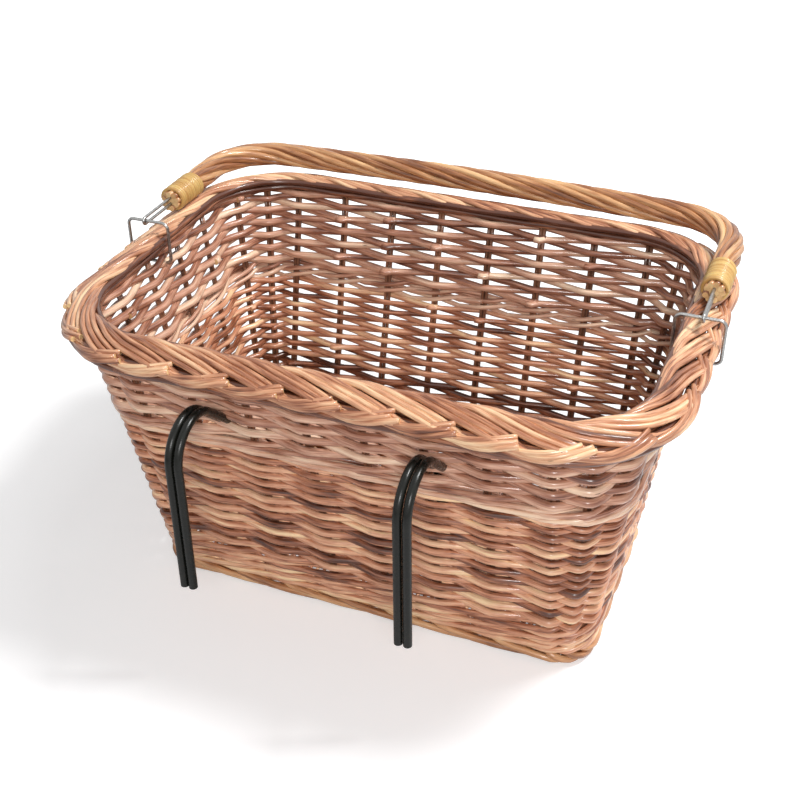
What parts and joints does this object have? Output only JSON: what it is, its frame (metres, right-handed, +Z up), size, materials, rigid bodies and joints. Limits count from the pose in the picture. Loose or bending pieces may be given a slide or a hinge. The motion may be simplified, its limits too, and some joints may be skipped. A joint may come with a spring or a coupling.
{
  "type": "woven basket",
  "caption": "Rectangular woven willow basket with sloping walls, a thick plaited border, a roped swing handle on wire eyes and two pairs of hanging hooks.",
  "frame": {"origin": "middle of the base's flat underside, where the basket stands on a floor", "axes": "+Z up, +X along the long side, -Y towards the wall that carries the hooks"},
  "size_m": [0.4802, 0.3837, 0.2769],
  "materials": {
    "willow": "glossy lacquered buff willow",
    "willow_stick": "lacquered buff willow",
    "cane": "satin",
    "steel_wire": "bright galvanised",
    "hook_steel": "plain",
    "black_coating": "gloss"
  },
  "bodies": {
    "basket": {"base_weave": "willow", "base_sticks": "willow_stick", "foot_border": "willow", "upset_wale": "willow", "lower_siding": "willow", "waist_wale": "willow", "upper_siding": "willow", "side_stakes": "willow_stick", "plaited_border": "willow", "border_link_left": "steel_wire", "border_link_right": "steel_wire", "hook_steel_left": "hook_steel", "hook_steel_right": "hook_steel", "hook_coating_left": "black_coating", "hook_coating_right": "black_coating"},
    "handle": {"handle_rope": "willow", "handle_bow": "willow_stick", "handle_eye_left": "steel_wire", "handle_eye_right": "steel_wire", "cane_binding_left": "cane", "cane_binding_right": "cane"}
  },
  "joints": [
    {"name": "handle_swing", "type": "hinge", "parent": "basket", "child": "handle", "pos_m": [0, 0, 0.2659], "axis": [1, 0, 0], "range_deg": [0, 180]}
  ]
}
